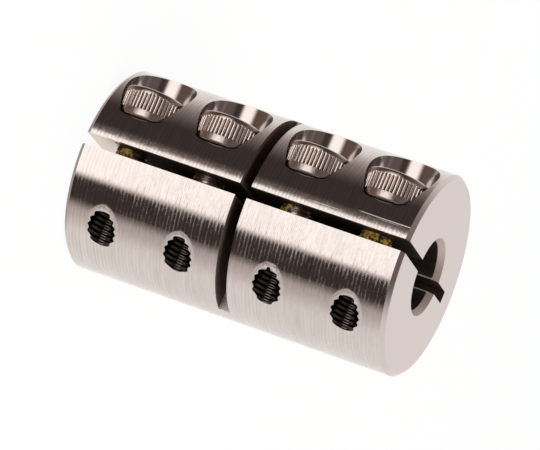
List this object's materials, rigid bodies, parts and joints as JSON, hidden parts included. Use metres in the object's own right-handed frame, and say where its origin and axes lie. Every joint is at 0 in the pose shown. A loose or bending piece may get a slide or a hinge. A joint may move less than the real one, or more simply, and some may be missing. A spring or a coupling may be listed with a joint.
{
  "type": "clamp shaft coupling",
  "caption": "One-piece slit steel sleeve that joins shafts end to end, each half closed on its shaft by cap screws sunk in side pockets.",
  "frame": {"origin": "centre of the bore at the lower end face, which the coupling stands on", "axes": "+Z along the bore; the slit opens towards -Y; the screw heads look towards -X and the tapped holes leave at +X"},
  "size_m": [0.02, 0.02, 0.0337],
  "materials": {
    "body_steel": "fine-turned stainless steel",
    "screw_steel": "knurled and thread-rolled stainless steel",
    "patch_nylon": "fused nylon"
  },
  "bodies": {
    "body": {"coupling_body": "body_steel"},
    "screw_1": {"clamp_screw_1": "screw_steel", "thread_lock_patch_1": "patch_nylon"},
    "screw_2": {"clamp_screw_2": "screw_steel", "thread_lock_patch_2": "patch_nylon"},
    "screw_3": {"clamp_screw_3": "screw_steel", "thread_lock_patch_3": "patch_nylon"},
    "screw_4": {"clamp_screw_4": "screw_steel", "thread_lock_patch_4": "patch_nylon"}
  },
  "joints": [
    {"name": "screw_1_turn", "type": "hinge", "parent": "body", "child": "screw_1", "pos_m": [-0.00355, -0.0067, 0.00407], "axis": [-1, 0, 0], "range_deg": [0, 720]},
    {"name": "screw_2_turn", "type": "hinge", "parent": "body", "child": "screw_2", "pos_m": [-0.00355, -0.0067, 0.01218], "axis": [-1, 0, 0], "range_deg": [0, 720]},
    {"name": "screw_3_turn", "type": "hinge", "parent": "body", "child": "screw_3", "pos_m": [-0.00355, -0.0067, 0.02152], "axis": [-1, 0, 0], "range_deg": [0, 720]},
    {"name": "screw_4_turn", "type": "hinge", "parent": "body", "child": "screw_4", "pos_m": [-0.00355, -0.0067, 0.02962], "axis": [-1, 0, 0], "range_deg": [0, 720]}
  ]
}
